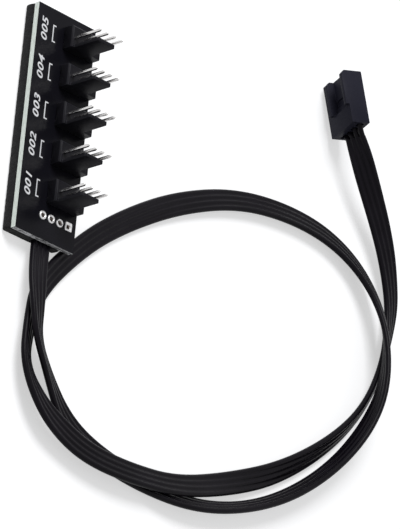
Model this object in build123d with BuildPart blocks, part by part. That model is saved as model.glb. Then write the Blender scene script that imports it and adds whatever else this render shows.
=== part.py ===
from build123d import *
import os
from math import cos, radians, sin, tan

# A one-to-five hub for four-pin fans: a circuit board on a foam pad, five headers with a lock wall,
# and a flat four-core cable that ends in a keyed plug. Sizes are millimetres.
# X runs across the board, Y along it away from the cable, and Z up from the underside of the pad.

# Circuit board
BOARD_LENGTH = 60.0
BOARD_WIDTH = 20.0
BOARD_THICKNESS = 1.6

# Foam pad, flush with the board's left edge
PAD_WIDTH = 17.0
PAD_THICKNESS = 3.0
POCKET_CLEARANCE = 0.3

# Row of headers, counted from the cable end
PORT_COUNT = 5
PORT_PITCH = 10.3
FIRST_PORT = 12.3
HEADER_INSET = 0.62

# Pins
PIN_COUNT = 4
PIN_PITCH = 2.54
PIN_SIDE = 0.64
PIN_HEIGHT = 11.8
PIN_TAIL = 1.4
PIN_POINT = 0.6
PIN_POINT_SIDE = 0.32

# Header moulding: the base reaches further on its open side than on the lock wall's side
BASE_HEIGHT = 3.2
BASE_OPEN_SIDE = 3.1
BASE_LOCK_SIDE = 2.73
BASE_CHAMFER = 0.35
RELIEF_WIDTH = 2.6
RELIEF_DEPTH = 0.3
WALL_HEIGHT = 11.3
WALL_THICKNESS = 0.8
WALL_WIDTH = 6.2
WALL_SHIFT = 1.0
WALL_CORNER = 0.5
CATCH_DEPTH = 0.4
CATCH_HEIGHT = 1.8
CATCH_LEAD_IN = 0.6
CATCH_DROP = 0.5

# Solder round the pin tails
PIN_HOLE = 1.0
SOLDER_FOOT = 1.7
SOLDER_NECK = 1.05
SOLDER_HEIGHT = 1.0

# Wire joints at the cable end of the board
WIRE_COUNT = 4
WIRE_PITCH = 2.9
WIRE_ROW = 6.1
WIRE_MIDDLE = 12.9
WIRE_HOLE = 0.9
CORE_DIAMETER = 0.6
CORE_BEND = 0.7
CORE_STEM = 1.3
JOINT_DIAMETER = 2.5
JOINT_RIM = 0.12
JOINT_HEIGHT = 0.45
JOINT_TOP = 1.2
JOINT_CORNER = 0.15

# Flat cable and its separated cores
CABLE_WIDTH = 6.0
CABLE_THICKNESS = 1.5
CABLE_CHAMFER = 0.4
CABLE_MIDDLE = 11.5
CABLE_INSET = 0.6
LAY_GAP = 0.15
CROSSING_GAP = 0.35
BEND_SHARE = 0.45
LEAD_DIAMETER = 1.2
LEAD_PITCH = CABLE_WIDTH / WIRE_COUNT

# Plug: the distances across its thickness are from the row of cavities
PLUG_LENGTH = 15.0
PLUG_WIDTH = 11.0
PLUG_BACK = 2.4
PLUG_SHELF = 3.0
PLUG_RIB = 4.0
PLUG_REAR = 5.2
PLUG_FACE = 1.4
PLUG_EDGE = 0.3
RIB_WIDTH = 1.1
RIB_LEAD_IN = 0.9
SLOT_CLEARANCE = 0.13
CAVITY_SIDE = 1.9
ENTRY_SIDE = 1.1
WINDOW_WIDTH = 1.2
WINDOW_LENGTH = 2.4
WINDOW_START = 8.2

# Contacts inside the plug
CONTACT_GAUGE = 0.25
CONTACT_WIDTH = 1.5
CONTACT_HEIGHT = 1.6
CONTACT_BOX = 7.2
GRIP_START = 1.0
GRIP_LENGTH = 2.0
BARREL_START = 3.6
BARREL_LENGTH = 1.6
BARREL_WIDTH = 1.1
LEAD_STRIP = 3.3
LEAD_CORE = 5.3
TANG_WIDTH = 0.8
TANG_REACH = 0.75
TANG_LENGTH = 2.0

# Where the plug lies, from the cable's exit: the row of cavities meets its rear face here.
# It stands on its narrow side, leans over, and dips until a corner of its mating end meets the floor.
PLUG_PLACE = (100.2, 66.8)
PLUG_HEADING = 98.5
PLUG_DIP = 10.0
PLUG_LEAN = 18.0

# The cable turns on edge over this length, just before its cores part for the plug
TWIST_LENGTH = 26.5
TWIST_STEPS = 8

# Heights that follow from the stack of pad, board and cable
board_bottom = PAD_THICKNESS
board_top = board_bottom + BOARD_THICKNESS
cable_end = -BOARD_LENGTH / 2
right_edge = BOARD_WIDTH / 2
left_edge = -BOARD_WIDTH / 2
cable_level = board_bottom - CABLE_THICKNESS / 2
exit_x = left_edge + CABLE_MIDDLE
cable_start = cable_end + CABLE_INSET

# Route of the cable's middle, from its exit: over its own return, twice round, and out to the plug
FLOOR = CABLE_THICKNESS / 2 + LAY_GAP
OVER = FLOOR + CABLE_THICKNESS + CROSSING_GAP
ROUTE = [
    (0.0, CABLE_INSET, cable_level),
    (0.0, -6.6, cable_level),
    (0.7, -14.8, OVER),
    (3.3, -23.2, OVER),
    (8.4, -31.3, FLOOR),
    (14.5, -40.0, FLOOR),
    (25.0, -46.8, FLOOR),
    (41.5, -49.8, FLOOR),
    (60.5, -49.4, FLOOR),
    (79.0, -44.8, FLOOR),
    (96.0, -36.0, FLOOR),
    (110.5, -23.4, OVER),
    (121.0, -8.5, OVER),
    (127.2, 7.0, OVER),
    (126.7, 22.0, OVER),
    (119.0, 33.2, OVER),
    (105.5, 39.9, FLOOR),
    (86.5, 41.0, FLOOR),
    (66.5, 37.0, FLOOR),
    (46.5, 26.8, FLOOR),
    (30.0, 14.5, FLOOR),
    (17.5, 1.5, FLOOR),
    (6.4, -10.4, FLOOR),
    (1.6, -20.2, FLOOR),
    (0.9, -30.4, FLOOR),
    (5.2, -39.8, FLOOR),
    (12.8, -46.4, OVER),
    (22.8, -49.4, OVER),
    (38.0, -48.0, OVER),
    (54.0, -45.4, OVER),
    (72.0, -38.8, OVER),
    (91.0, -29.6, FLOOR),
    (108.0, -17.2, FLOOR),
    (120.0, -3.8, FLOOR),
    (127.3, 10.5, FLOOR),
    (129.9, 21.5, FLOOR),
    (129.5, 30.8, FLOOR),
    (126.4, 38.5, FLOOR),
    (120.9, 44.4, FLOOR),
]

# Places shared by several pieces
header_middle = right_edge - HEADER_INSET - PIN_COUNT * PIN_PITCH / 2
row_middle = (PIN_COUNT - 1) / 2
pin_places = [header_middle + (pin - row_middle) * PIN_PITCH for pin in range(PIN_COUNT)]
port_rows = [cable_end + FIRST_PORT + port * PORT_PITCH for port in range(PORT_COUNT)]
wire_middle = (WIRE_COUNT - 1) / 2
wire_places = [left_edge + WIRE_MIDDLE + (wire - wire_middle) * WIRE_PITCH for wire in range(WIRE_COUNT)]
lead_offsets = [(wire - wire_middle) * LEAD_PITCH for wire in range(WIRE_COUNT)]
wire_row = cable_end + WIRE_ROW
lead_end = wire_row - CORE_STEM

os.makedirs("parts", exist_ok=True)


def save(builder, name):
    """Labels a finished piece and writes it as its own node."""
    builder.part.label = name
    export_step(builder.part, f"parts/{name}.step")


# Circuit board with its drilled holes
with BuildPart() as circuit_board:
    with BuildSketch(Plane.XY.offset(board_bottom)):
        Rectangle(BOARD_WIDTH, BOARD_LENGTH)
        with Locations([(x, y) for y in port_rows for x in pin_places]):
            Circle(PIN_HOLE / 2, mode=Mode.SUBTRACT)
        with Locations([(x, wire_row) for x in wire_places]):
            Circle(WIRE_HOLE / 2, mode=Mode.SUBTRACT)
    extrude(amount=BOARD_THICKNESS)
save(circuit_board, "circuit_board")

# Foam pad: dented by the tails that lie over it, and cut away for the cable and its cores
pad_right = left_edge + PAD_WIDTH
tail_radius = SOLDER_FOOT / 2 + POCKET_CLEARANCE
fan_left = wire_places[0] - LEAD_DIAMETER / 2 - POCKET_CLEARANCE
fan_right = wire_places[-1] + LEAD_DIAMETER / 2 + POCKET_CLEARANCE
fan_back = wire_row + CORE_DIAMETER / 2 + POCKET_CLEARANCE
with BuildPart() as foam_pad:
    with BuildSketch():
        with Locations((left_edge, cable_end)):
            Rectangle(PAD_WIDTH, BOARD_LENGTH, align=Align.MIN)
    extrude(amount=PAD_THICKNESS)
    with BuildSketch(Plane.XY.offset(board_bottom)):
        with Locations([(x, y) for y in port_rows for x in pin_places if x - SOLDER_FOOT / 2 < pad_right]):
            Circle(tail_radius)
    extrude(amount=-PIN_TAIL - POCKET_CLEARANCE, mode=Mode.SUBTRACT)
    with BuildSketch(Plane.XY.offset(board_bottom)):
        with Locations((exit_x, cable_end)):
            Rectangle(CABLE_WIDTH, CABLE_INSET, align=(Align.CENTER, Align.MIN))
        with Locations((fan_left, cable_start)):
            Rectangle(fan_right - fan_left, fan_back - cable_start, align=Align.MIN)
    extrude(amount=-CABLE_THICKNESS, mode=Mode.SUBTRACT)
save(foam_pad, "foam_pad")

# Headers: a base with a relief under it, and a lock wall whose catch leans over the open side
wall_left = header_middle - WALL_SHIFT - WALL_WIDTH / 2
for port, row in enumerate(port_rows, start=1):
    back = row - BASE_LOCK_SIDE
    inner = back + WALL_THICKNESS
    wall_top = board_top + WALL_HEIGHT
    catch_top = wall_top - CATCH_DROP
    catch_tip = catch_top - CATCH_LEAD_IN
    catch_foot = catch_top - CATCH_HEIGHT
    with BuildPart() as header:
        with BuildSketch(Plane.XY.offset(board_top)):
            with Locations((header_middle, back)):
                Rectangle(
                    PIN_COUNT * PIN_PITCH, BASE_LOCK_SIDE + BASE_OPEN_SIDE, align=(Align.CENTER, Align.MIN)
                )
        extrude(amount=BASE_HEIGHT)
        open_rim = header.edges().group_by(Axis.Z)[-1].sort_by(Axis.Y)[1:]
        chamfer(open_rim, BASE_CHAMFER)
        with BuildSketch(Plane.YZ.offset(wall_left)):
            with BuildLine():
                Polyline(
                    (back, board_top + BASE_HEIGHT / 2),
                    (back, wall_top),
                    (inner, wall_top),
                    (inner, catch_top),
                    (inner + CATCH_DEPTH, catch_tip),
                    (inner, catch_foot),
                    (inner, board_top + BASE_HEIGHT / 2),
                    close=True,
                )
            make_face()
        extrude(amount=WALL_WIDTH)
        chamfer(header.edges().filter_by(Axis.Y).group_by(Axis.Z)[-1], WALL_CORNER)
        with BuildSketch(Plane.XY.offset(board_top)):
            with Locations((header_middle, row)):
                Rectangle(PIN_COUNT * PIN_PITCH, RELIEF_WIDTH)
        extrude(amount=RELIEF_DEPTH, mode=Mode.SUBTRACT)
        with BuildSketch(Plane.XY.offset(board_top)):
            with Locations([(x, row) for x in pin_places]):
                Rectangle(PIN_SIDE, PIN_SIDE)
        extrude(amount=BASE_HEIGHT, mode=Mode.SUBTRACT)
    save(header, f"header_{port}")

# Pins: square wire, drawn to a point at both ends
pin_bottom = board_bottom - PIN_TAIL
pin_top = board_top + PIN_HEIGHT
for port, row in enumerate(port_rows, start=1):
    for number, x in enumerate(pin_places, start=1):
        with BuildPart() as pin:
            with BuildSketch(Plane.XY.offset(pin_bottom + PIN_POINT)):
                with Locations((x, row)):
                    Rectangle(PIN_SIDE, PIN_SIDE)
            extrude(amount=pin_top - pin_bottom - 2 * PIN_POINT)
            for shoulder, tip in (
                (pin_top - PIN_POINT, pin_top),
                (pin_bottom + PIN_POINT, pin_bottom),
            ):
                with BuildSketch(Plane.XY.offset(shoulder)):
                    with Locations((x, row)):
                        Rectangle(PIN_SIDE, PIN_SIDE)
                with BuildSketch(Plane.XY.offset(tip)):
                    with Locations((x, row)):
                        Rectangle(PIN_POINT_SIDE, PIN_POINT_SIDE)
                loft()
        save(pin, f"pin_{port}_{number}")

# Solder: it fills the drilled holes round the pins and stands as a cone on the tails
for port, row in enumerate(port_rows, start=1):
    with BuildPart() as pin_solder:
        for x in pin_places:
            with BuildSketch(Plane.XZ.offset(-row)):
                with BuildLine():
                    Polyline(
                        (x, board_top),
                        (x + PIN_HOLE / 2, board_top),
                        (x + PIN_HOLE / 2, board_bottom),
                        (x + SOLDER_FOOT / 2, board_bottom),
                        (x + SOLDER_NECK / 2, board_bottom - SOLDER_HEIGHT / 2),
                        (x + SOLDER_NECK / 2, board_bottom - SOLDER_HEIGHT),
                        (x, board_bottom - SOLDER_HEIGHT),
                        close=True,
                    )
                make_face()
            revolve(axis=Axis((x, row, 0), (0, 0, 1)))
        with BuildSketch(Plane.XY.offset(board_top)):
            with Locations([(x, row) for x in pin_places]):
                Rectangle(PIN_SIDE, PIN_SIDE)
        extrude(until=Until.LAST, dir=(0, 0, -1), mode=Mode.SUBTRACT)
    save(pin_solder, f"pin_solder_{port}")

# Wire joints: solder in the hole and a low dome on its land, the last wire's land square
joint_top = board_top + JOINT_HEIGHT
for number, x in enumerate(wire_places, start=1):
    square = number == WIRE_COUNT
    with BuildPart() as wire_joint:
        with BuildSketch(Plane.XY.offset(board_bottom)):
            with Locations((x, wire_row)):
                Circle(WIRE_HOLE / 2)
        extrude(amount=BOARD_THICKNESS)
        for level, side in (
            (board_top, JOINT_DIAMETER),
            (board_top + JOINT_RIM, JOINT_DIAMETER),
            (joint_top, JOINT_TOP),
        ):
            with BuildSketch(Plane.XY.offset(level)):
                with Locations((x, wire_row)):
                    if square:
                        RectangleRounded(side, side, JOINT_CORNER)
                    else:
                        Circle(side / 2)
        loft(ruled=True)
        with BuildSketch(Plane.XY.offset(board_bottom)):
            with Locations((x, wire_row)):
                Circle(CORE_DIAMETER / 2)
        extrude(amount=joint_top - board_bottom, mode=Mode.SUBTRACT)
    save(wire_joint, f"wire_joint_{number}")

    with BuildPart() as wire_core:
        with BuildLine() as core_line:
            FilletPolyline(
                (x, lead_end, cable_level),
                (x, wire_row, cable_level),
                (x, wire_row, joint_top),
                radius=CORE_BEND,
            )
        with BuildSketch(Plane(core_line.line @ 0, z_dir=core_line.line % 0)):
            Circle(CORE_DIAMETER / 2)
        sweep()
    save(wire_core, f"wire_core_{number}")

    with BuildPart() as board_lead:
        for place in (
            (exit_x + lead_offsets[number - 1], cable_start, cable_level),
            (x, lead_end, cable_level),
        ):
            with BuildSketch(Plane(place, x_dir=(1, 0, 0), z_dir=(0, 1, 0))):
                Circle(LEAD_DIAMETER / 2)
        loft()
    save(board_lead, f"board_lead_{number}")


def bend_radius(before, corner, after):
    """The largest bend that two runs of the route leave room for."""
    first = Vector(*corner) - Vector(*before)
    second = Vector(*after) - Vector(*corner)
    turn = radians(first.get_angle(second))
    return BEND_SHARE * min(first.length, second.length) / tan(turn / 2)


def cable_section(origin, side, along):
    """The cable's flat section, drawn across its run for a sweep or a loft."""
    with BuildSketch(Plane(origin, x_dir=side, z_dir=along)) as section:
        Rectangle(CABLE_WIDTH, CABLE_THICKNESS)
        chamfer(section.vertices(), CABLE_CHAMFER)
    return section.sketch


def lay_height(turn):
    """Height of the cable's middle over its lowest edge when it is turned that far on edge."""
    return CABLE_WIDTH / 2 * sin(turn) + CABLE_THICKNESS / 2 * abs(cos(turn))


# Attitude of the plug: its axis points to the mating end and its top leans away from its plain side
plug_half = PLUG_WIDTH / 2
level_axis = Vector(cos(radians(PLUG_HEADING)), sin(radians(PLUG_HEADING)), 0)
up = Vector(0, 0, 1)
plug_side = level_axis.cross(up)
plug_axis = level_axis * cos(radians(PLUG_DIP)) - up * sin(radians(PLUG_DIP))
plug_upright = plug_side.cross(plug_axis)
plug_top = plug_upright * cos(radians(PLUG_LEAN)) - plug_side * sin(radians(PLUG_LEAN))
across = plug_axis.cross(plug_top)
plug_level = plug_half * plug_top.Z + PLUG_SHELF * across.Z - PLUG_LENGTH * plug_axis.Z
plug_place = (exit_x + PLUG_PLACE[0], cable_end + PLUG_PLACE[1], plug_level)

# Flat cable: it lies flat along the route, then turns on edge and rises to the middle of the plug
twist_angle = radians(90 + PLUG_LEAN)
route = [(exit_x + x, cable_end + y, z) for x, y, z in ROUTE]
bends = [bend_radius(*route[corner - 1:corner + 2]) for corner in range(1, len(route) - 1)]
with BuildPart() as flat_cable:
    with BuildLine() as cable_line:
        FilletPolyline(*route, radius=bends)
    path = cable_line.wire()
    sweep(cable_section(path @ 0, (path % 0).cross(up), path % 0), path=path)
    turned = path @ 1
    heading = path % 1
    end_face = flat_cable.faces().sort_by_distance(turned)[0]
    right_rim = end_face.edges().sort_by_distance(turned + heading.cross(up) * CABLE_WIDTH)[0]
    side = (right_rim.center() - turned).normalized()
    lift = side.cross(heading)
    twist_sections = []
    for step in range(TWIST_STEPS + 1):
        share = step / TWIST_STEPS
        ease = share * share * (3 - 2 * share)
        turn = twist_angle * ease
        height = lay_height(turn) + LAY_GAP + (plug_level - lay_height(twist_angle) - LAY_GAP) * ease
        twist_end = turned + heading * TWIST_LENGTH * share
        twist_end = Vector(twist_end.X, twist_end.Y, height)
        twist_side = side * cos(turn) + lift * sin(turn)
        twist_sections.append(cable_section(twist_end, twist_side, heading))
    loft(twist_sections)
save(flat_cable, "flat_cable")
length = path.length + TWIST_LENGTH
print("cable bends", [round(bend, 1) for bend in bends])
print("cable length", round(length, 1), "volume", round(flat_cable.part.volume, 1))
section_area = CABLE_WIDTH * CABLE_THICKNESS - 2 * CABLE_CHAMFER**2
print("section times length", round(section_area * length, 1))

# Plug: local x points to its top, y to the plain side and z to the mating end
plug_plane = Plane(plug_place, x_dir=plug_top, z_dir=plug_axis)
cavity_places = [(row_middle - pin) * PIN_PITCH for pin in range(PIN_COUNT)]
catch_reach = WALL_HEIGHT - CATCH_DROP - BASE_HEIGHT
slot_floor = BASE_LOCK_SIDE - WALL_THICKNESS - SLOT_CLEARANCE
slot_top = WALL_SHIFT + WALL_WIDTH / 2 + SLOT_CLEARANCE
slot_bottom = WALL_SHIFT - WALL_WIDTH / 2 - SLOT_CLEARANCE
cavity_half = CAVITY_SIDE / 2
with BuildPart() as plug_housing:
    with BuildSketch(plug_plane):
        with BuildLine():
            Polyline(
                (plug_half, PLUG_BACK),
                (plug_half, -PLUG_RIB),
                (slot_top, -PLUG_RIB),
                (slot_top, -slot_floor),
                (slot_bottom, -slot_floor),
                (slot_bottom, -PLUG_RIB),
                (slot_bottom - RIB_WIDTH, -PLUG_RIB),
                (slot_bottom - RIB_WIDTH, -PLUG_SHELF),
                (-plug_half, -PLUG_SHELF),
                (-plug_half, PLUG_BACK),
                close=True,
            )
        make_face()
    extrude(amount=PLUG_LENGTH)
    with BuildSketch(plug_plane):
        with Locations((0, -PLUG_SHELF)):
            Rectangle(PLUG_WIDTH, PLUG_RIB - PLUG_SHELF, align=(Align.CENTER, Align.MAX))
    extrude(amount=PLUG_REAR, mode=Mode.SUBTRACT)
    with BuildSketch(plug_plane):
        with Locations((0, -PLUG_SHELF)):
            Rectangle(PLUG_WIDTH, PLUG_SHELF, align=(Align.CENTER, Align.MIN))
    extrude(amount=PLUG_REAR)
    rib_faces = plug_housing.faces().filter_by(Axis(plug_place, across)).sort_by(Axis(plug_place, across))[:2]
    rib_ends = rib_faces.edges().filter_by(Axis(plug_place, plug_top))
    rib_tips = rib_ends.sort_by(Axis(plug_place, plug_axis))[-2:]
    chamfer(rib_tips, RIB_LEAD_IN)
    with BuildSketch(plug_plane.offset(PLUG_LENGTH - catch_reach - SLOT_CLEARANCE)):
        with Locations((WALL_SHIFT, -slot_floor)):
            Rectangle(slot_top - slot_bottom, CATCH_DEPTH, align=(Align.CENTER, Align.MIN))
    extrude(amount=CATCH_HEIGHT + 2 * SLOT_CLEARANCE, mode=Mode.SUBTRACT)
    with BuildSketch(plug_plane):
        with Locations([(x, 0) for x in cavity_places]):
            Rectangle(CAVITY_SIDE, CAVITY_SIDE)
    extrude(amount=PLUG_LENGTH - PLUG_FACE, mode=Mode.SUBTRACT)
    with BuildSketch(plug_plane.offset(PLUG_LENGTH)):
        with Locations([(x, 0) for x in cavity_places]):
            Rectangle(ENTRY_SIDE, ENTRY_SIDE)
    extrude(amount=-PLUG_FACE, mode=Mode.SUBTRACT)
    with BuildSketch(plug_plane.offset(WINDOW_START)):
        with Locations([(x, 0) for x in cavity_places]):
            Rectangle(WINDOW_WIDTH, PLUG_BACK, align=(Align.CENTER, Align.MIN))
    extrude(amount=WINDOW_LENGTH, mode=Mode.SUBTRACT)
    plain_rim = plug_housing.faces().sort_by(Axis(plug_place, across))[-1]
    chamfer(plain_rim.outer_wire().edges(), PLUG_EDGE)
save(plug_housing, "plug_housing")

# Contacts and the cores that they grip
strip_top = cavity_half - CONTACT_GAUGE
for number, x in enumerate(cavity_places, start=1):
    contact_middle = cavity_half - CONTACT_HEIGHT / 2
    with BuildPart() as contact:
        with BuildSketch(plug_plane.offset(CONTACT_BOX)):
            with Locations((x, contact_middle)):
                Rectangle(CONTACT_WIDTH, CONTACT_HEIGHT)
                Rectangle(
                    CONTACT_WIDTH - 2 * CONTACT_GAUGE, CONTACT_HEIGHT - 2 * CONTACT_GAUGE, mode=Mode.SUBTRACT
                )
        extrude(amount=PLUG_LENGTH - PLUG_FACE - CONTACT_BOX)
        with BuildSketch(plug_plane.offset(GRIP_START)):
            with Locations((x, strip_top)):
                Rectangle(BARREL_WIDTH, CONTACT_GAUGE, align=(Align.CENTER, Align.MIN))
        extrude(amount=CONTACT_BOX - GRIP_START)
        with BuildSketch(plug_plane.offset(GRIP_START)):
            with Locations((x, 0)):
                Circle(LEAD_DIAMETER / 2 + CONTACT_GAUGE)
        extrude(amount=GRIP_LENGTH)
        with BuildSketch(plug_plane.offset(GRIP_START)):
            with Locations((x, 0)):
                Circle(LEAD_DIAMETER / 2)
        extrude(amount=GRIP_LENGTH, mode=Mode.SUBTRACT)
        with BuildSketch(plug_plane.offset(BARREL_START)):
            with Locations((x, cavity_half)):
                Rectangle(
                    BARREL_WIDTH,
                    cavity_half + CORE_DIAMETER / 2 + CONTACT_GAUGE,
                    align=(Align.CENTER, Align.MAX),
                )
            with Locations((x, 0)):
                Circle(CORE_DIAMETER / 2, mode=Mode.SUBTRACT)
        extrude(amount=BARREL_LENGTH)
        tang_side = plug_plane.from_local_coords((x - TANG_WIDTH / 2, 0, 0))
        tang_plane = Plane(tang_side, x_dir=across, z_dir=plug_top)
        with BuildSketch(tang_plane):
            tang_root = WINDOW_START + WINDOW_LENGTH - CONTACT_GAUGE
            with BuildLine():
                Polyline(
                    (strip_top, tang_root),
                    (cavity_half, tang_root),
                    (cavity_half + TANG_REACH, tang_root - TANG_LENGTH),
                    (cavity_half + TANG_REACH - CONTACT_GAUGE, tang_root - TANG_LENGTH),
                    (strip_top, tang_root - 2 * CONTACT_GAUGE),
                    close=True,
                )
            make_face()
        extrude(amount=TANG_WIDTH)
    save(contact, f"contact_{number}")

    with BuildPart() as plug_lead:
        lead_start = twist_end + twist_side * lead_offsets[-number]
        with BuildSketch(Plane(lead_start, x_dir=twist_side, z_dir=heading)):
            Circle(LEAD_DIAMETER / 2)
        with BuildSketch(plug_plane):
            with Locations((x, 0)):
                Circle(LEAD_DIAMETER / 2)
        loft()
        with BuildSketch(plug_plane):
            with Locations((x, 0)):
                Circle(LEAD_DIAMETER / 2)
        extrude(amount=LEAD_STRIP)
        with BuildSketch(plug_plane.offset(LEAD_STRIP)):
            with Locations((x, 0)):
                Circle(CORE_DIAMETER / 2)
        extrude(amount=LEAD_CORE - LEAD_STRIP)
    save(plug_lead, f"plug_lead_{number}")
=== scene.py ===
# %% [markdown]
# # A fan splitter hub, dressed for its photograph
# The CAD model gives every rigid piece its size and place. This lesson adds what CAD leaves out: the soft
# pieces, the small roundings that catch the light, and the finish of each surface. It begins with the frame,
# the camera and the cable, because everything else has to agree with them.

# %% Load the frame
import math

import bmesh
import bpy
from mathutils import Matrix, Quaternion, Vector, noise


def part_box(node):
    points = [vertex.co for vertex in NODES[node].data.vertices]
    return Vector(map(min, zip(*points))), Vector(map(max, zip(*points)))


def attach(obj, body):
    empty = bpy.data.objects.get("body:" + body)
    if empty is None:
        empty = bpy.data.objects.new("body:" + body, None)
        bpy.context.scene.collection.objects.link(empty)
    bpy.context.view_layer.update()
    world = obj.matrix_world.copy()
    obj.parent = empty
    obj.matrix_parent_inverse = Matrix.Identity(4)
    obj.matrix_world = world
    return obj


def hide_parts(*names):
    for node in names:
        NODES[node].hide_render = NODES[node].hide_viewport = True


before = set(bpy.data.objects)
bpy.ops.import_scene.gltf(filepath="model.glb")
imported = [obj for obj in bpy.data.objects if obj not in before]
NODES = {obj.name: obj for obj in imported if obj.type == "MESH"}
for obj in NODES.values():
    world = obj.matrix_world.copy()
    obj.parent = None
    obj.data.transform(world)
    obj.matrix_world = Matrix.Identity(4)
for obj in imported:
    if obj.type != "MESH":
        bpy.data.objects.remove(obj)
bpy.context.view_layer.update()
MM = 0.001

# %% [markdown]
# ## The camera
# The photograph was taken from far away with a long lens: the board's parallel edges stay parallel. The
# angles were found by matching the board's corners and the tips of the pins, which the CAD places exactly.
# The camera is rolled by most of a right angle, so that the board's long side runs up the picture.

# %% Camera
CAMERA_AIM = Vector((58.64, -14.41, 0.0)) * MM
CAMERA_AZIMUTH = math.radians(-60.39)
CAMERA_ELEVATION = math.radians(40.66)
CAMERA_ROLL = math.radians(74.92)
CAMERA_DISTANCE = 1136.3 * MM
CAMERA_LENS = 306.9


def add_object(name, data):
    made = bpy.data.objects.new(name, data)
    bpy.context.scene.collection.objects.link(made)
    return made


towards_camera = Vector((
    math.sin(CAMERA_AZIMUTH) * math.cos(CAMERA_ELEVATION),
    -math.cos(CAMERA_AZIMUTH) * math.cos(CAMERA_ELEVATION),
    math.sin(CAMERA_ELEVATION),
))
camera_data = bpy.data.cameras.new("camera")
camera_data.lens = CAMERA_LENS
camera = add_object("camera", camera_data)
camera.location = CAMERA_AIM + towards_camera * CAMERA_DISTANCE
camera.rotation_mode = "QUATERNION"
camera.rotation_quaternion = towards_camera.to_track_quat("Z", "Y") @ Quaternion((0, 0, 1), CAMERA_ROLL)
bpy.context.scene.camera = camera
bpy.context.scene.view_settings.view_transform = "Standard"
print("camera at", [round(v, 3) for v in camera.location])

# %% [markdown]
# ## Helpers for node materials
# A material here is a small network of nodes. Patterns that several materials share, such as the grain of a
# moulded surface, are node groups: one group is built once and used by many materials, each with its own
# scale and strength. A group gives back masks, colours or normals, and the shader stays in the material.

# %% Node helpers
FLOAT = "NodeSocketFloat"
COLOUR = "NodeSocketColor"
VECTOR = "NodeSocketVector"


def new_group(name, inputs, outputs):
    group = bpy.data.node_groups.new(name, "ShaderNodeTree")
    for label, kind, value in inputs:
        group.interface.new_socket(label, in_out="INPUT", socket_type=kind).default_value = value
    for label, kind in outputs:
        group.interface.new_socket(label, in_out="OUTPUT", socket_type=kind)
    return group, group.nodes.new("NodeGroupInput"), group.nodes.new("NodeGroupOutput")


def add_node(tree, kind, **settings):
    made = tree.nodes.new(kind)
    for name, value in settings.items():
        label = name.replace("_", " ")
        if label in made.inputs:
            made.inputs[label].default_value = value
        else:
            setattr(made, name, value)
    return made


def use_group(tree, group, **values):
    made = tree.nodes.new("ShaderNodeGroup")
    made.node_tree = group
    for label, value in values.items():
        made.inputs[label].default_value = value
    return made


def shade(name, roughness, metallic=0.0):
    material = bpy.data.materials.new(name)
    material.use_nodes = True
    shader = material.node_tree.nodes["Principled BSDF"]
    shader.inputs["Roughness"].default_value = roughness
    shader.inputs["Metallic"].default_value = metallic
    return material, material.node_tree, shader


# %% [markdown]
# ## Shared patterns
# *Grain* is the fine texture of moulded plastic and rubber: two sizes of noise, given back as a mask and as a
# bumped normal. *Tone* lets a colour drift slowly between two near values, because no real surface is one
# colour all over. The edge group reads an attribute that the mesh code writes on every small rounding, and
# makes those faces a little lighter: partly the wear of handling, partly a painted highlight along each edge.

# %% Grain
COARSE_SCALE = 0.17
grain, grain_in, grain_out = new_group(
    "grain",
    [("Scale", FLOAT, 900.0), ("Depth", FLOAT, 0.2), ("Coarse", FLOAT, 0.3)],
    [("Mask", FLOAT), ("Normal", VECTOR)],
)
place = grain.nodes.new("ShaderNodeTexCoord")
fine = add_node(grain, "ShaderNodeTexNoise", Detail=3.0, Roughness=0.6)
rough = add_node(grain, "ShaderNodeTexNoise", Detail=2.0, Roughness=0.5)
wider = add_node(grain, "ShaderNodeMath", operation="MULTIPLY")
wider.inputs[1].default_value = COARSE_SCALE
blended = add_node(grain, "ShaderNodeMix", data_type="FLOAT")
bump = add_node(grain, "ShaderNodeBump", Distance=0.0002)
grain.links.new(place.outputs["Object"], fine.inputs["Vector"])
grain.links.new(place.outputs["Object"], rough.inputs["Vector"])
grain.links.new(grain_in.outputs["Scale"], fine.inputs["Scale"])
grain.links.new(grain_in.outputs["Scale"], wider.inputs[0])
grain.links.new(wider.outputs[0], rough.inputs["Scale"])
grain.links.new(grain_in.outputs["Coarse"], blended.inputs["Factor"])
grain.links.new(fine.outputs["Fac"], blended.inputs["A"])
grain.links.new(rough.outputs["Fac"], blended.inputs["B"])
grain.links.new(blended.outputs["Result"], bump.inputs["Height"])
grain.links.new(grain_in.outputs["Depth"], bump.inputs["Strength"])
grain.links.new(blended.outputs["Result"], grain_out.inputs["Mask"])
grain.links.new(bump.outputs["Normal"], grain_out.inputs["Normal"])
print("grain:", len(grain.nodes), "nodes")

# %% Tone
tone, tone_in, tone_out = new_group(
    "tone",
    [
        ("First", COLOUR, (0.02, 0.02, 0.02, 1)),
        ("Second", COLOUR, (0.03, 0.03, 0.03, 1)),
        ("Scale", FLOAT, 60.0),
    ],
    [("Color", COLOUR)],
)
place = tone.nodes.new("ShaderNodeTexCoord")
drift = add_node(tone, "ShaderNodeTexNoise", Detail=4.0, Roughness=0.6)
contrast = add_node(tone, "ShaderNodeMapRange", From_Min=0.35, From_Max=0.65)
mixed = add_node(tone, "ShaderNodeMix", data_type="RGBA")
tone.links.new(place.outputs["Object"], drift.inputs["Vector"])
tone.links.new(tone_in.outputs["Scale"], drift.inputs["Scale"])
tone.links.new(drift.outputs["Fac"], contrast.inputs["Value"])
tone.links.new(contrast.outputs["Result"], mixed.inputs["Factor"])
tone.links.new(tone_in.outputs["First"], mixed.inputs["A"])
tone.links.new(tone_in.outputs["Second"], mixed.inputs["B"])
tone.links.new(mixed.outputs["Result"], tone_out.inputs["Color"])
print("tone:", len(tone.nodes), "nodes")
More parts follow.
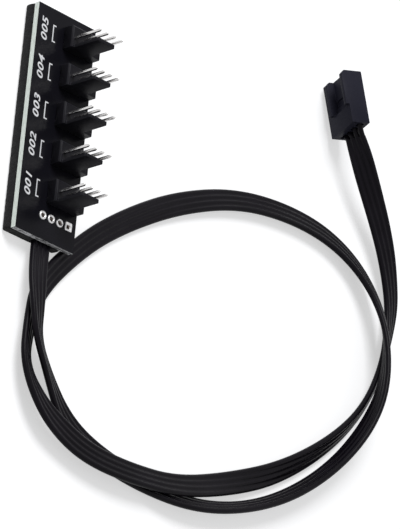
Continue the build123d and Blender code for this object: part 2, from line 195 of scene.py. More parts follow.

# %% Edge wear and painted highlight
# The lighter colour on the rounded edges is partly wear and partly a painted highlight along each edge.
wear_and_highlight, wear_and_highlight_in, wear_and_highlight_out = new_group(
    "edge_wear_and_highlight",
    [
        ("Color", COLOUR, (0.02, 0.02, 0.02, 1)),
        ("Edge", COLOUR, (0.06, 0.06, 0.07, 1)),
        ("Amount", FLOAT, 0.6),
    ],
    [("Color", COLOUR)],
)
place = wear_and_highlight.nodes.new("ShaderNodeTexCoord")
edge_patches = add_node(wear_and_highlight, "ShaderNodeTexNoise", Scale=420.0, Detail=3.0)
edge = add_node(wear_and_highlight, "ShaderNodeAttribute", attribute_name="edge")
broken = add_node(wear_and_highlight, "ShaderNodeMath", operation="MULTIPLY")
amount = add_node(wear_and_highlight, "ShaderNodeMath", operation="MULTIPLY", use_clamp=True)
mixed = add_node(wear_and_highlight, "ShaderNodeMix", data_type="RGBA")
wear_and_highlight.links.new(place.outputs["Object"], edge_patches.inputs["Vector"])
wear_and_highlight.links.new(edge_patches.outputs["Fac"], broken.inputs[0])
wear_and_highlight.links.new(edge.outputs["Fac"], broken.inputs[1])
wear_and_highlight.links.new(broken.outputs[0], amount.inputs[0])
wear_and_highlight.links.new(wear_and_highlight_in.outputs["Amount"], amount.inputs[1])
wear_and_highlight.links.new(amount.outputs[0], mixed.inputs["Factor"])
wear_and_highlight.links.new(wear_and_highlight_in.outputs["Color"], mixed.inputs["A"])
wear_and_highlight.links.new(wear_and_highlight_in.outputs["Edge"], mixed.inputs["B"])
wear_and_highlight.links.new(mixed.outputs["Result"], wear_and_highlight_out.inputs["Color"])
print("edge wear and highlight:", len(wear_and_highlight.nodes), "nodes")

# %% [markdown]
# ## Materials
# Almost everything here is black, so the pieces differ in how they shine: the board's lacquer is glossy, the
# headers are satin, the plug is a bluish satin, the cable's jacket has a soft gleam along its ribs, and the
# foam swallows the light. Three short steps put the shared groups into a material: a colour that drifts, a
# grained skin, and a roughness that follows a mask. A recipe makes the moulded materials from them.

# %% Steps of a material
def drift_colour(tree, target, first, second, scale):
    colour = use_group(tree, tone, First=(*first, 1), Second=(*second, 1), Scale=scale)
    tree.links.new(colour.outputs["Color"], target)


def grain_skin(tree, shader, **values):
    skin = use_group(tree, grain, **values)
    tree.links.new(skin.outputs["Normal"], shader.inputs["Normal"])
    return skin.outputs["Mask"]


def vary_roughness(tree, shader, mask, low, high):
    gloss = add_node(tree, "ShaderNodeMapRange", To_Min=low, To_Max=high)
    tree.links.new(mask, gloss.inputs["Value"])
    tree.links.new(gloss.outputs["Result"], shader.inputs["Roughness"])


# %% Moulded materials
BLACK_SHINE = 0.07
MOULDED_DRIFT = 90.0


def moulded(name, first, second, edge_colour, roughness, spread, grain_scale, grain_depth, edge_amount=0.6):
    material, tree, shader = shade(name, roughness)
    shader.inputs["Specular IOR Level"].default_value = BLACK_SHINE
    # The lighter edge colour is partly wear and partly a painted highlight.
    edges = use_group(tree, wear_and_highlight, Edge=(*edge_colour, 1), Amount=edge_amount)
    drift_colour(tree, edges.inputs["Color"], first, second, scale=MOULDED_DRIFT)
    tree.links.new(edges.outputs["Color"], shader.inputs["Base Color"])
    mask = grain_skin(tree, shader, Scale=grain_scale, Depth=grain_depth)
    vary_roughness(tree, shader, mask, roughness - spread, roughness + spread)
    return material


header_plastic = moulded(
    "header_plastic", (0.006, 0.006, 0.008), (0.010, 0.0095, 0.0125), (0.04, 0.04, 0.05),
    roughness=0.42, spread=0.16, grain_scale=2600.0, grain_depth=0.12,
)
plug_plastic = moulded(
    "plug_plastic", (0.010, 0.010, 0.018), (0.015, 0.015, 0.025), (0.05, 0.05, 0.07),
    roughness=0.5, spread=0.14, grain_scale=2200.0, grain_depth=0.16,
)
cable_jacket = moulded(
    "cable_jacket", (0.0036, 0.0029, 0.0048), (0.0062, 0.0051, 0.0080), (0.03, 0.03, 0.03),
    roughness=0.34, spread=0.13, grain_scale=1500.0, grain_depth=0.12, edge_amount=0.0,
)
print("moulded:", [material.name for material in (header_plastic, plug_plastic, cable_jacket)])

# %% [markdown]
# ## The cable
# The cable is one fixed length of flat four-core ribbon. Its line is a NURBS spline whose control points are
# the route that the CAD model follows, moved a little where the photograph shows the ribbon leaning. A ribbon
# can't bend sideways, so where a loop turns it leans over on its edge. Each point therefore has two more
# numbers: the gap under the ribbon's lowest edge, and how far the edge on the right of its run is raised.
# Along the first turn the lean grows to a half twist, and near the plug the ribbon stands on edge, as the
# plug does. The cable's own sizes are in millimetres, as its route is.

# %% Cable route
CABLE_EXIT = Vector((1.5, -30.0, 0.0))
CABLE_WIDTH = 6.0
CORE_RADIUS = 0.77
EDGE_REACH = CABLE_WIDTH / 2 - CORE_RADIUS
# x and y from the exit and the gap below, in millimetres, and the lean in degrees
ROUTE = [
    (-0.2, 0.6, 1.2, 0),
    (-1.8, -7.3, 2.8, 0),
    (-1.4, -15.7, 3.0, 16),
    (-0.2, -24.4, 2.2, 36),
    (7.0, -32.0, 0.1, 33),
    (14.2, -40.3, 0.1, 11),
    (24.4, -45.1, 0.1, 8),
    (40.9, -47.9, 0.1, 17),
    (59.0, -48.7, 0.1, 48),
    (77.2, -43.9, 0.1, 65),
    (94.2, -35.1, 0.1, 71),
    (108.8, -22.6, 1.2, 80),
    (117.3, -9.4, 3.8, 88),
    (121.0, 3.4, 5.4, 114),
    (122.0, 19.5, 4.4, 146),
    (116.0, 32.1, 1.4, 152),
    (103.5, 38.9, 0.2, 158),
    (86.0, 40.0, 0.1, 160),
    (66.0, 36.7, 0.1, 162),
    (46.1, 28.2, 0.1, 172),
    (28.8, 17.2, 0.1, 188),
    (15.0, 5.9, 0.1, 189),
    (1.4, -10.1, 0.1, 189),
    (-1.2, -21.2, 0.1, 209),
    (-2.0, -31.5, 0.6, 215),
    (3.7, -41.0, 3.0, 196),
    (13.3, -45.4, 3.1, 180),
    (22.9, -47.7, 2.8, 186),
    (36.5, -47.8, 2.6, 195),
    (53.6, -45.6, 1.6, 199),
    (73.0, -38.5, 0.6, 184),
    (90.2, -30.2, 0.1, 156),
    (106.6, -17.9, 0.1, 137),
    (118.4, -4.8, 0.1, 126),
    (125.4, 9.8, 0.1, 136),
    (127.7, 21.7, 0.1, 152),
    (127.5, 28.7, 1.0, 168),
    (125.1, 34.8, 2.3, 178),
    (121.6, 40.9, 3.2, 190),
    (117.1, 46.8, 4.0, 202),
    (112.2, 52.1, 4.9, 214),
    (107.5, 56.6, 5.9, 228),
    (103.8, 61.2, 6.3, 244),
    (101.2, 65.2, 6.1, 264),
]


def cable_point(x, y, gap, lean):
    height = gap + EDGE_REACH * abs(math.sin(math.radians(lean))) + CORE_RADIUS
    return (CABLE_EXIT + Vector((x, y, height))) * MM


def route_curve(name):
    data = bpy.data.curves.new(name, "CURVE")
    data.dimensions = "3D"
    data.twist_mode = "Z_UP"
    data.resolution_u = 10
    spline = data.splines.new("NURBS")
    spline.points.add(len(ROUTE) - 1)
    for point, (x, y, gap, lean) in zip(spline.points, ROUTE):
        point.co = (*cable_point(x, y, gap, lean), 1.0)
        point.tilt = -math.radians(lean)
    spline.order_u = 3
    spline.use_endpoint_u = True
    return add_object(name, data)


def as_mesh(made):
    evaluated = made.evaluated_get(bpy.context.evaluated_depsgraph_get())
    return bpy.data.meshes.new_from_object(evaluated)


line_curve = route_curve("cable_line")
cable_line = [vertex.co.copy() for vertex in as_mesh(line_curve).vertices]
cable_length = sum((b - a).length for a, b in zip(cable_line, cable_line[1:]))
print("cable line:", len(cable_line), "points,", round(cable_length / MM, 1), "mm")

# %% [markdown]
# The ribbon's section is four round cores side by side, joined by thin webs. Each core is an arc that stops
# where it meets its neighbour's web, so the valleys between the ribs are sharp and shallow, as in a moulded
# jacket. The section is swept along the spline as the curve's bevel, and the result is kept as a mesh.

# %% Cable section
CORE_COUNT = 4
CORE_PITCH = (CABLE_WIDTH - 2 * CORE_RADIUS) / (CORE_COUNT - 1)
WEB_ANGLE = math.radians(50.0)
ARC_STEPS = 9
SAME_POINT = 0.001


def section_arcs():
    arcs = []
    for core in range(CORE_COUNT):
        first = math.pi if core == 0 else math.pi - WEB_ANGLE
        last = 0.0 if core == CORE_COUNT - 1 else WEB_ANGLE
        middle = (core - (CORE_COUNT - 1) / 2) * CORE_PITCH
        for step in range(ARC_STEPS + 1):
            angle = first + (last - first) * step / ARC_STEPS
            arcs.append((middle + CORE_RADIUS * math.cos(angle), CORE_RADIUS * math.sin(angle)))
    return arcs


upper = section_arcs()
outline = []
for point in upper + [(-x, -y) for x, y in upper]:
    if not outline or math.dist(point, outline[-1]) > SAME_POINT:
        outline.append(point)
if math.dist(outline[0], outline[-1]) < SAME_POINT:
    outline.pop()
section_data = bpy.data.curves.new("cable_section", "CURVE")
section_spline = section_data.splines.new("POLY")
section_spline.points.add(len(outline) - 1)
for point, (x, y) in zip(section_spline.points, outline):
    point.co = (x * MM, y * MM, 0.0, 1.0)
section_spline.use_cyclic_u = True
section = add_object("cable_section", section_data)
print("cable section:", len(outline), "points")

# %% Cable ribbon
line_curve.data.bevel_mode = "OBJECT"
line_curve.data.bevel_object = section
line_curve.data.use_fill_caps = True
ribbon_mesh = as_mesh(line_curve)
ribbon = add_object("cable_ribbon", ribbon_mesh)
for spare in (line_curve, section):
    bpy.data.objects.remove(spare)
for face in ribbon_mesh.polygons:
    face.use_smooth = True
ribbon_mesh.materials.clear()
ribbon_mesh.materials.append(cable_jacket)
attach(ribbon, "root")
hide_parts("flat_cable")
lowest = min(vertex.co.z for vertex in ribbon_mesh.vertices)
print("ribbon:", len(ribbon_mesh.polygons), "faces, lowest point", round(lowest / MM, 2), "mm")

# %% [markdown]
# ## Copies of CAD pieces, with soft edges
# Moulded plastic and stamped metal never have knife edges: a rounding of a tenth of a millimetre is what
# draws the fine light line along them. A rigid piece keeps its CAD shape, so it is a copy of the CAD mesh.
# The copy's loose triangles are merged and its flat faces joined, and then a bevel rounds the sharp edges.
# The new faces are marked in a face attribute called *edge*, which the edge wear and highlight group reads.

# %% Soft edges
MERGE = 0.0005 * MM
FLAT = math.radians(1.0)
SHARP = math.radians(28.0)


def cad_copy(*names):
    shape = bmesh.new()
    for name in names:
        shape.from_mesh(NODES[name].data)
    bmesh.ops.remove_doubles(shape, verts=shape.verts, dist=MERGE)
    bmesh.ops.dissolve_limit(shape, angle_limit=FLAT, verts=shape.verts, edges=shape.edges)
    return shape


def sharp_edges(shape):
    return [edge for edge in shape.edges if edge.is_manifold and edge.calc_face_angle() > SHARP]


def round_edges(shape, edges, width, segments):
    return bmesh.ops.bevel(
        shape, geom=edges, offset=width, offset_type="OFFSET", affect="EDGES", segments=segments,
        profile=0.5, material=-1, clamp_overlap=True,
    )["faces"]


def soften(shape, edges, width, segments=2):
    mark = shape.faces.layers.float.get("edge") or shape.faces.layers.float.new("edge")
    made = round_edges(shape, edges, width, segments)
    for face in made:
        face[mark] = 1.0
    return len(made)


# %% [markdown]
# A finished shape becomes an object that stays at the origin, with its place in its mesh. It rides on the
# root body, and the CAD nodes that it stands for are hidden. A CAD node that shows as it is only gets its
# material.

# %% Finished pieces
def finish_piece(shape, name, slot, *materials, replaced=(), smooth_below=40.0):
    mesh = bpy.data.meshes.new(name)
    shape.to_mesh(mesh)
    shape.free()
    for material in materials:
        mesh.materials.append(material)
    for face in mesh.polygons:
        face.use_smooth = True
    mesh.set_sharp_from_angle(angle=math.radians(smooth_below))
    piece = add_object(name, mesh)
    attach(piece, "root")
    if replaced:
        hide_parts(*replaced)
    return piece


def coat(name, material):
    node = NODES[name]
    node.data.materials.clear()
    node.data.materials.append(material)
    return node


# %% [markdown]
# ## The circuit board
# A board is a sheet of woven glass and resin with a lacquer on both faces. Its faces shine black with a
# breath of blue, and its sawn edges stay pale, which makes the bright line along its side. So the copy of the
# board gets three materials: lacquer on the faces, clean-sawn fibre on the long edges, and rougher, dirtier
# fibre on the ends, where boards are snapped apart. The way a face looks decides which it gets.

# %% Board materials
lacquer, tree, shader = shade("board_lacquer", 0.2)
shader.inputs["Specular IOR Level"].default_value = BLACK_SHINE
lacquer_colour = shader.inputs["Base Color"]
drift_colour(tree, lacquer_colour, (0.0042, 0.0041, 0.0062), (0.0075, 0.0072, 0.0106), scale=45.0)
mask = grain_skin(tree, shader, Scale=700.0, Depth=0.05, Coarse=0.7)
vary_roughness(tree, shader, mask, low=0.16, high=0.34)


def raw_edge(name, dark, light, first, last, fibre):
    material, tree, shader = shade(name, 0.6)
    place = tree.nodes.new("ShaderNodeTexCoord")
    layers = add_node(tree, "ShaderNodeMapping", Scale=fibre)
    weave = add_node(tree, "ShaderNodeTexNoise", Scale=1.0, Detail=3.0, Roughness=0.65)
    ramp = add_node(tree, "ShaderNodeValToRGB")
    ramp.color_ramp.elements[0].position = first
    ramp.color_ramp.elements[0].color = (*dark, 1)
    ramp.color_ramp.elements[1].position = last
    ramp.color_ramp.elements[1].color = (*light, 1)
    grain_skin(tree, shader, Scale=2400.0, Depth=0.35)
    tree.links.new(place.outputs["Object"], layers.inputs["Vector"])
    tree.links.new(layers.outputs["Vector"], weave.inputs["Vector"])
    tree.links.new(weave.outputs["Fac"], ramp.inputs["Fac"])
    tree.links.new(ramp.outputs["Color"], shader.inputs["Base Color"])
    return material


long_edge = raw_edge(
    "board_long_edge", dark=(0.60, 0.65, 0.59), light=(0.88, 0.96, 0.90), first=0.3, last=0.55,
    fibre=(500.0, 500.0, 4200.0),
)
end_edge = raw_edge(
    "board_end_edge", dark=(0.07, 0.07, 0.075), light=(0.80, 0.81, 0.83), first=0.38, last=0.60,
    fibre=(620.0, 620.0, 1900.0),
)
print("board materials:", [material.name for material in (lacquer, long_edge, end_edge)])

# %% Board
BOARD_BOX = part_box("circuit_board")
BOARD_TOP = BOARD_BOX[1][2]
BOARD_ROUND = 0.06 * MM
ON_EDGE = 0.02 * MM
UPRIGHT = 0.5


def on_side(point, box):
    low, high = box
    beside = min(abs(point.x - low[0]), abs(point.x - high[0])) < ON_EDGE
    return beside or min(abs(point.y - low[1]), abs(point.y - high[1])) < ON_EDGE


def outer_edges(shape, box):
    return [edge for edge in sharp_edges(shape) if all(on_side(vert.co, box) for vert in edge.verts)]


shape = cad_copy("circuit_board")
rounded = soften(shape, outer_edges(shape, BOARD_BOX), BOARD_ROUND, segments=1)
for face in shape.faces:
    if abs(face.normal.z) < UPRIGHT and on_side(face.calc_center_median(), BOARD_BOX):
        face.material_index = 1 if abs(face.normal.x) > abs(face.normal.y) else 2
board = finish_piece(
    shape, "board", "board", lacquer, long_edge, end_edge, replaced=["circuit_board"], smooth_below=20.0,
)
print("board:", rounded, "faces round its outline,", len(board.data.polygons), "in all")

# %% [markdown]
# ## White print on the board
# The print is a thin layer of white ink. Each port has a number, read along the board, and a bracket that
# shows where its header goes. The numbers are text turned into a mesh, leaned a little as such prints are. A
# bracket starts as one flat strip: it is cut near both ends, one side of each end is pulled out, and a
# solidify gives it the height of the ink.

# %% Ink
INK_HEIGHT = 0.025 * MM
INK_SINK = 0.003 * MM
ink, tree, shader = shade("white_ink", 0.65)
drift_colour(tree, shader.inputs["Base Color"], (0.62, 0.63, 0.66), (0.78, 0.79, 0.81), scale=700.0)
grain_skin(tree, shader, Scale=3000.0, Depth=0.2)


def print_layer(shape, x, y, turn=0.0, stretch=1.0):
    height = BOARD_TOP + INK_HEIGHT / 2 - INK_SINK
    place = Matrix.Translation((x, y, height)) @ Matrix.Rotation(turn, 4, "Z")
    bmesh.ops.transform(shape, matrix=place @ Matrix.Diagonal((stretch, 1, 1, 1)), verts=shape.verts)


print("ink:", round(INK_HEIGHT / MM, 3), "mm thick")

# %% Port numbers
NUMBER_X = -7.3 * MM
NUMBER_SIZE = 2.8 * MM
NUMBER_STRETCH = 1.35
NUMBER_SLANT = 0.22
NUMBER_BOLD = 0.06 * MM
NUMBER_SPACING = 1.12


def number_mesh(text):
    data = bpy.data.curves.new("number", "FONT")
    data.body = text
    data.size = NUMBER_SIZE
    data.shear = NUMBER_SLANT
    data.offset = NUMBER_BOLD
    data.space_character = NUMBER_SPACING
    data.align_x = "CENTER"
    data.align_y = "CENTER"
    data.extrude = INK_HEIGHT / 2
    carrier = add_object("number", data)
    mesh = as_mesh(carrier)
    bpy.data.objects.remove(carrier)
    return mesh


def port_number(port, row):
    shape = bmesh.new()
    shape.from_mesh(number_mesh(f"00{port}"))
    bmesh.ops.remove_doubles(shape, verts=shape.verts, dist=MERGE)
    print_layer(shape, NUMBER_X, row, math.pi / 2, NUMBER_STRETCH)
    return finish_piece(shape, f"port_number_{port}", "board", ink)


# %% Port brackets
BRACKET_X = -4.45 * MM
BRACKET_LONG = 4.6 * MM
BRACKET_TICK = 1.1 * MM
BRACKET_STROKE = 0.34 * MM
BRACKET_CUT = BRACKET_LONG / 2 - BRACKET_STROKE


def port_bracket(port, row):
    shape = bmesh.new()
    bmesh.ops.create_grid(shape, x_segments=1, y_segments=1, size=0.5)
    bmesh.ops.scale(shape, vec=(BRACKET_STROKE, BRACKET_LONG, 1.0), verts=shape.verts)
    for side in (-1, 1):
        everything = shape.verts[:] + shape.edges[:] + shape.faces[:]
        bmesh.ops.bisect_plane(
            shape, geom=everything, plane_co=(0, side * BRACKET_CUT, 0), plane_no=(0, 1, 0),
        )
    ends = [
        edge for edge in shape.edges
        if all(vert.co.x > 0 for vert in edge.verts)
        and abs(sum(vert.co.y for vert in edge.verts) / 2) > BRACKET_CUT
    ]
    pulled = bmesh.ops.extrude_edge_only(shape, edges=ends)["geom"]
    corners = [item for item in pulled if isinstance(item, bmesh.types.BMVert)]
    bmesh.ops.translate(shape, vec=(BRACKET_TICK - BRACKET_STROKE, 0, 0), verts=corners)
    bmesh.ops.recalc_face_normals(shape, faces=shape.faces)
    bmesh.ops.solidify(shape, geom=shape.faces[:], thickness=INK_HEIGHT)
    print_layer(shape, BRACKET_X, row)
    return finish_piece(shape, f"port_bracket_{port}", "board", ink)


# %% Print at every port
PORTS = range(1, 6)


def middle_of(name):
    low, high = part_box(name)
    return [(a + b) / 2 for a, b in zip(low, high)]


for port in PORTS:
    row = middle_of(f"pin_{port}_1")[1]
    port_number(port, row)
    bracket = port_bracket(port, row)
print("print:", len(PORTS), "numbers and brackets,", len(bracket.data.polygons), "faces a bracket")

# %% [markdown]
# ## Headers and pins
# A header is one moulding of black nylon. The pins are square brass wire with a coat of tin, cut to blunt
# points. Tin is bright but never a mirror: fine lines from drawing the wire run along it, so its roughness is
# a noise that is stretched along the pin.

# %% Tin
tin, tree, shader = shade("tin", 0.24, 1.0)
place = tree.nodes.new("ShaderNodeTexCoord")
drawn = add_node(tree, "ShaderNodeMapping", Scale=(9000.0, 9000.0, 350.0))
lines = add_node(tree, "ShaderNodeTexNoise", Scale=1.0, Detail=2.0)
tree.links.new(place.outputs["Object"], drawn.inputs["Vector"])
tree.links.new(drawn.outputs["Vector"], lines.inputs["Vector"])
vary_roughness(tree, shader, lines.outputs["Fac"], low=0.10, high=0.28)
drift_colour(tree, shader.inputs["Base Color"], (0.56, 0.55, 0.54), (0.70, 0.69, 0.68), scale=400.0)
print("tin:", len(tree.nodes), "nodes")

# %% Headers and pins
HEADER_ROUND = 0.11 * MM
PIN_ROUND = 0.05 * MM
PINS = range(1, 5)
for port in PORTS:
    shape = cad_copy(f"header_{port}")
    soften(shape, sharp_edges(shape), HEADER_ROUND)
    finish_piece(shape, f"header_moulding_{port}", "header", header_plastic, replaced=[f"header_{port}"])
    pins = [f"pin_{port}_{number}" for number in PINS]
    shape = cad_copy(*pins)
    soften(shape, sharp_edges(shape), PIN_ROUND)
    made = finish_piece(shape, f"header_pins_{port}", "pin", tin, replaced=pins)
print("headers:", len(PORTS), "with", len(made.data.polygons), "faces on each set of pins")

# %% [markdown]
# ## Wire joints
# Where the cable's cores come up through the board, solder has wicked into a ring round each wire: high at
# its crest, hollow in the middle, and thin where it wets the land. A turned shape like this is a profile and
# a spin. The last land is square, so its solder starts as a block: its corners are bevelled, and its crown is
# inset three times, drawn together and lowered, down to the wire's end, which is coloured dark as painted
# shade.

# %% Solder
solder, tree, shader = shade("solder", 0.36, 0.8)
drift_colour(tree, shader.inputs["Base Color"], (0.58, 0.58, 0.59), (0.82, 0.82, 0.82), scale=900.0)
mask = grain_skin(tree, shader, Scale=1500.0, Depth=0.3, Coarse=0.5)
vary_roughness(tree, shader, mask, low=0.2, high=0.5)

# The wire's end is coloured dark as painted shade: it stands in for the shade in the hollow of each joint.
painted_shade_wire_end, tree, shader = shade("wire_end_painted_shade", 0.5, 0.6)
drift_colour(tree, shader.inputs["Base Color"], (0.05, 0.04, 0.035), (0.16, 0.13, 0.11), scale=1600.0)
print("solder materials:", [material.name for material in (solder, painted_shade_wire_end)])

# %% Round joint
# radius and height over the board, in millimetres, from the rim of the land to the wire
RING = [
    (1.16, -0.01),
    (1.16, 0.06),
    (1.10, 0.20),
    (1.00, 0.31),
    (0.88, 0.36),
    (0.76, 0.32),
    (0.66, 0.20),
    (0.58, 0.08),
]
SPIN_STEPS = 32


def round_joint(shape):
    wire_radius, wire_height = RING[-1]
    profile = [shape.verts.new((radius * MM, 0, height * MM)) for radius, height in RING]
    profile.append(shape.verts.new((0, 0, wire_height * MM)))
    edges = [shape.edges.new(pair) for pair in zip(profile, profile[1:])]
    bmesh.ops.spin(
        shape, geom=profile + edges, cent=(0, 0, 0), axis=(0, 0, 1), angle=2 * math.pi, steps=SPIN_STEPS,
        use_merge=True,
    )
    # The middle of each ring takes the dark wire-end colour, which is painted shade in the hollow.
    for face in shape.faces:
        if face.calc_center_median().xy.length < wire_radius * MM:
            face.material_index = 1


# %% Square joint
LAND_SIDE = 2.3 * MM
LAND_HEIGHT = 0.40 * MM
LAND_CORNER = 0.3 * MM
CROWN_ROUND = 0.14 * MM
LAND_SEGMENTS = 3
# how far the crown is drawn together, and how far it is lowered in millimetres
CROWN_STEPS = [(0.86, 0.0), (0.80, 0.1), (0.72, 0.18)]


def square_joint(shape):
    bmesh.ops.create_cube(shape, size=1.0)
    bmesh.ops.scale(shape, vec=(LAND_SIDE, LAND_SIDE, LAND_HEIGHT), verts=shape.verts)
    bmesh.ops.translate(shape, vec=(0, 0, LAND_HEIGHT / 2), verts=shape.verts)
    posts = [edge for edge in shape.edges if abs(edge.verts[0].co.z - edge.verts[1].co.z) > MERGE]
    round_edges(shape, posts, LAND_CORNER, LAND_SEGMENTS)
    crown = max(shape.faces, key=lambda face: face.calc_center_median().z)
    round_edges(shape, list(crown.edges), CROWN_ROUND, LAND_SEGMENTS)
    crown = max(shape.faces, key=lambda face: face.calc_center_median().z + face.calc_area())
    for factor, drop in CROWN_STEPS:
        bmesh.ops.inset_individual(shape, faces=[crown], thickness=0.0)
        bmesh.ops.scale(shape, vec=(factor, factor, 1.0), verts=crown.verts)
        bmesh.ops.translate(shape, vec=(0, 0, -drop * MM), verts=crown.verts)
    # The sunken crown takes the dark wire-end colour, which is painted shade in the hollow.
    crown.material_index = 1


# %% Wire joints
CORES = range(1, CORE_COUNT + 1)
for number in CORES:
    shape = bmesh.new()
    if number < CORE_COUNT:
        round_joint(shape)
    else:
        square_joint(shape)
    x, y, _ = middle_of(f"wire_joint_{number}")
    bmesh.ops.remove_doubles(shape, verts=shape.verts, dist=MERGE)
    bmesh.ops.translate(shape, vec=(x, y, BOARD_TOP), verts=shape.verts)
    bmesh.ops.recalc_face_normals(shape, faces=shape.faces)
    joint = finish_piece(
        shape, f"joint_solder_{number}", "solder", solder, painted_shade_wire_end, replaced=[f"wire_joint_{number}"],
        smooth_below=60.0,
    )
    # The wire cores get the same dark colour, which is painted shade.
    coat(f"wire_core_{number}", painted_shade_wire_end)
print("wire joints:", CORE_COUNT, "the last with", len(joint.data.polygons), "faces")

# %% [markdown]
# Under the board the pins' tails are soldered too. They press into the foam and only show when the pad is
# peeled off, so their CAD cones keep their shape and just get the same solder.

# %% Pin tails
tails = [coat(f"pin_solder_{port}", solder) for port in PORTS]
print("pin tails: solder on", len(tails), "sets of four")

# %% [markdown]
# ## The foam pad
# Under the board is a die-cut slab of soft foam tape. Foam has no hard edges: its corners slump, and its
# sides show torn cells. The CAD solid is copied, its outer edges are rounded, and a voxel remesh gives it an
# even skin of small faces. A noise pushes every point in and out by a few hundredths of a millimetre. The
# board's weight makes the long sides belly out a little, so the points near them also move outward, most at
# half height. The material adds the finest cells and a dusty sheen, and swallows the light.

# %% Foam material
foam_skin, tree, shader = shade("foam", 0.95)
shader.inputs["Sheen Weight"].default_value = 0.06
shader.inputs["Sheen Roughness"].default_value = 0.6
shader.inputs["Specular IOR Level"].default_value = 0.2
place = tree.nodes.new("ShaderNodeTexCoord")
cells = add_node(tree, "ShaderNodeTexVoronoi", Scale=2600.0, Randomness=1.0)
bump = add_node(tree, "ShaderNodeBump", Strength=0.6, Distance=0.0002, invert=True)
tree.links.new(place.outputs["Object"], cells.inputs["Vector"])
tree.links.new(cells.outputs["Distance"], bump.inputs["Height"])
tree.links.new(bump.outputs["Normal"], shader.inputs["Normal"])
drift_colour(tree, shader.inputs["Base Color"], (0.006, 0.006, 0.0068), (0.015, 0.015, 0.016), scale=1300.0)
print("foam material:", len(tree.nodes), "nodes")

# %% Foam slab
PAD_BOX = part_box("foam_pad")
PAD_ROUND = 0.5 * MM
PAD_SEGMENTS = 4
FOAM_VOXEL = 0.3 * MM

shape = cad_copy("foam_pad")
round_edges(shape, outer_edges(shape, PAD_BOX), PAD_ROUND, PAD_SEGMENTS)
foam = finish_piece(shape, "foam_tape", "foam", foam_skin, replaced=["foam_pad"])
remesh = foam.modifiers.new("skin", "REMESH")
remesh.mode = "VOXEL"
remesh.voxel_size = FOAM_VOXEL
foam_mesh = as_mesh(foam)
foam.modifiers.clear()
foam.data = foam_mesh
foam_mesh.name = "foam_tape"
print("foam:", len(foam_mesh.polygons), "faces")

# %% Foam cells and belly
CELL_SIZE = 0.9 * MM
CELL_DEPTH = 0.05 * MM
SMALL_CELLS = 2.3
SMALL_SHARE = 0.5
PAD_BULGE = 0.45 * MM
PAD_BAND = 1.5 * MM
pad_low, pad_high = PAD_BOX

shape = bmesh.new()
shape.from_mesh(foam_mesh)
bmesh.ops.smooth_vert(
    shape, verts=shape.verts, factor=0.5, use_axis_x=True, use_axis_y=True, use_axis_z=True,
)
for vert in shape.verts:
    swell = noise.noise(vert.co / CELL_SIZE) + SMALL_SHARE * noise.noise(vert.co * SMALL_CELLS / CELL_SIZE)
    moved = vert.co + vert.normal * swell * CELL_DEPTH
    nearness = max(0.0, 1.0 - min(vert.co.x - pad_low[0], pad_high[0] - vert.co.x) / PAD_BAND)
    level = (vert.co.z - pad_low[2]) / (pad_high[2] - pad_low[2]) * 2.0 - 1.0
    moved.x += math.copysign(PAD_BULGE * nearness * (1.0 - level * level), vert.co.x)
    moved.z = min(max(moved.z, pad_low[2]), pad_high[2])
    vert.co = moved
shape.to_mesh(foam_mesh)
shape.free()
foam_mesh.materials.clear()
foam_mesh.materials.append(foam_skin)
for face in foam_mesh.polygons:
    face.use_smooth = True
widest = max(abs(vertex.co.x) for vertex in foam_mesh.vertices)
print("foam belly: out to", round(widest / MM, 2), "mm from the board's middle")

# %% [markdown]
# ## The plug
# The plug's housing is moulded in the same nylon as the headers, but a little bluer and more matt. Its folded
# contacts are tinned too. The housing is a softened copy of its CAD node, because its slot, ribs and cavities
# have to fit the headers.

# %% Plug
PLUG_ROUND = 0.14 * MM
shape = cad_copy("plug_housing")
rounded = soften(shape, sharp_edges(shape), PLUG_ROUND)
plug = finish_piece(shape, "plug_moulding", "plug", plug_plastic, replaced=["plug_housing"])
contacts = [coat(f"contact_{number}", tin) for number in CORES]
print("plug:", rounded, "faces of rounding,", len(contacts), "contacts")

# %% [markdown]
# ## Loose cores
# Between the ribbon and the plug the four cores part, and under the board they fan out to their joints. Each
# is a short tube along a curve of its own. At the plug it leaves the ribbon in the ribbon's direction and
# enters the housing in the plug's. The plug's place and attitude repeat the CAD model's.

# %% Core tubes
LEAD_RADIUS = 0.7 * MM


def core_tube(name, points, replaced):
    data = bpy.data.curves.new(name, "CURVE")
    data.dimensions = "3D"
    data.bevel_depth = LEAD_RADIUS
    data.bevel_resolution = 5
    data.use_fill_caps = True
    spline = data.splines.new("NURBS")
    spline.points.add(len(points) - 1)
    for point, place in zip(spline.points, points):
        point.co = (*place, 1.0)
    spline.order_u = 4
    spline.use_endpoint_u = True
    carrier = add_object(name, data)
    shape = bmesh.new()
    shape.from_mesh(as_mesh(carrier))
    bpy.data.objects.remove(carrier)
    return finish_piece(shape, name, "lead", cable_jacket, replaced=[replaced], smooth_below=60.0)


def core_step(number):
    return (CORE_COUNT + 1) / 2 - number


# %% Cores at the plug
PLUG_REAR = Vector((101.7, 36.8, 8.67)) * MM
PLUG_HEADING = math.radians(98.5)
PLUG_DIP = math.radians(10.0)
PLUG_LEAN = math.radians(18.0)
CAVITY_PITCH = 2.54 * MM
INTO_RIBBON = 0.6 * MM
INTO_PLUG = 3.2 * MM
HEADING_POINTS = 3
UP = Vector((0, 0, 1))

level_axis = Vector((math.cos(PLUG_HEADING), math.sin(PLUG_HEADING), 0))
plug_side = level_axis.cross(UP)
plug_axis = level_axis * math.cos(PLUG_DIP) - UP * math.sin(PLUG_DIP)
plug_top = plug_side.cross(plug_axis) * math.cos(PLUG_LEAN) - plug_side * math.sin(PLUG_LEAN)

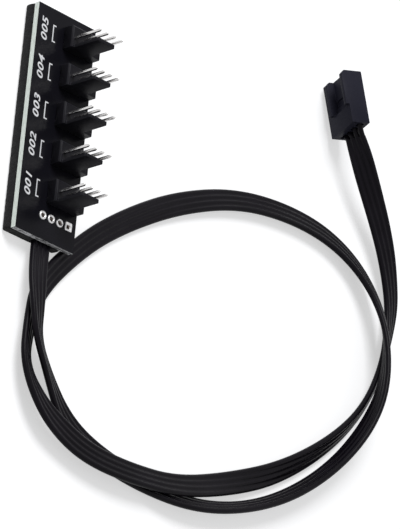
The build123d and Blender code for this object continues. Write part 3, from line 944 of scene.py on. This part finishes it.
ribbon_end = cable_line[-1]
end_heading = (ribbon_end - cable_line[-1 - HEADING_POINTS]).normalized()
end_lean = math.radians(ROUTE[-1][3])
level_right = end_heading.cross(UP).normalized()
end_across = level_right * math.cos(end_lean) + level_right.cross(end_heading) * math.sin(end_lean)
if end_across.z < 0:
    end_across = -end_across


def plug_core(number):
    start = ribbon_end + end_across * core_step(number) * CORE_PITCH * MM
    mouth = PLUG_REAR + plug_top * core_step(number) * CAVITY_PITCH
    reach = (mouth - start).length / 3
    points = [
        start - end_heading * INTO_RIBBON,
        start + end_heading * reach,
        mouth - plug_axis * reach,
        mouth + plug_axis * INTO_PLUG,
    ]
    return core_tube(f"plug_core_{number}", points, f"plug_lead_{number}")


print("from the ribbon to the plug:", round((PLUG_REAR - ribbon_end).length / MM, 1), "mm")

# %% Cores under the board
def board_core(number):
    low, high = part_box(f"board_lead_{number}")
    level = (low[2] + high[2]) / 2
    third = (high[1] - low[1]) / 3
    exit_x = CABLE_EXIT.x * MM - core_step(number) * CORE_PITCH * MM
    joint_x = middle_of(f"wire_joint_{number}")[0]
    points = [
        Vector((exit_x, low[1], level)),
        Vector((exit_x, low[1] + third, level)),
        Vector((joint_x, high[1] - third, level)),
        Vector((joint_x, high[1], level)),
    ]
    return core_tube(f"board_core_{number}", points, f"board_lead_{number}")


# %% Loose cores
for number in CORES:
    plug_core(number)
    board_core(number)

# %% [markdown]
# ## Floor and light
# A wide white floor, a big soft lamp up to the left of the far end, and an even white surround. The camera
# and the shiny surfaces see the floor and the surround as white. The floor is still a diffuse surface, so
# it keeps the soft shadow beside each strand, and the surround lights the object less than it shows.

# %% White when seen
def white_when_seen(tree, unseen, seen, target):
    path = tree.nodes.new("ShaderNodeLightPath")
    direct = add_node(tree, "ShaderNodeMath", operation="MAXIMUM")
    either = add_node(tree, "ShaderNodeMath", operation="MAXIMUM")
    level = add_node(tree, "ShaderNodeMapRange", To_Min=unseen, To_Max=seen)
    tree.links.new(path.outputs["Is Camera Ray"], direct.inputs[0])
    tree.links.new(path.outputs["Is Glossy Ray"], direct.inputs[1])
    tree.links.new(direct.outputs[0], either.inputs[0])
    tree.links.new(path.outputs["Is Transmission Ray"], either.inputs[1])
    tree.links.new(either.outputs[0], level.inputs["Value"])
    tree.links.new(level.outputs["Result"], target)


# %% Floor
FLOOR_SIZE = 4.0
FLOOR_GLOW = 0.54
floor_mesh = bpy.data.meshes.new("floor")
shape = bmesh.new()
bmesh.ops.create_grid(shape, x_segments=1, y_segments=1, size=FLOOR_SIZE / 2)
shape.to_mesh(floor_mesh)
shape.free()
floor = add_object("floor", floor_mesh)
floor_paint, tree, shader = shade("floor_paint", 0.9)
shader.inputs["Base Color"].default_value = (0.62, 0.625, 0.64, 1)
shader.inputs["Specular IOR Level"].default_value = 0.0
shader.inputs["Emission Color"].default_value = (1, 1, 1, 1)
white_when_seen(tree, 0.0, FLOOR_GLOW, shader.inputs["Emission Strength"])
floor_mesh.materials.append(floor_paint)
print("floor:", FLOOR_SIZE, "m wide")

# %% Surround and lamp
SURROUND_LIGHT = 0.35
SURROUND_SEEN = 1.0
LAMP_PLACE = Vector((-0.42, 0.72, 1.0))
LAMP_AIM = Vector((0.05, -0.02, 0.0))
LAMP_SIZE = 0.7
LAMP_WATTS = 13.5

world = bpy.data.worlds.new("surround")
world.use_nodes = True
bpy.context.scene.world = world
backdrop = world.node_tree.nodes["Background"]
backdrop.inputs["Color"].default_value = (1, 1, 1, 1)
white_when_seen(world.node_tree, SURROUND_LIGHT, SURROUND_SEEN, backdrop.inputs["Strength"])

lamp_data = bpy.data.lights.new("key", "AREA")
lamp_data.shape = "DISK"
lamp_data.size = LAMP_SIZE
lamp_data.energy = LAMP_WATTS
lamp = add_object("key", lamp_data)
lamp.location = LAMP_PLACE
lamp.rotation_mode = "QUATERNION"
lamp.rotation_quaternion = (LAMP_PLACE - LAMP_AIM).to_track_quat("Z", "Y")
print("lamp:", LAMP_WATTS, "W,", round((LAMP_PLACE - LAMP_AIM).length, 2), "m away")
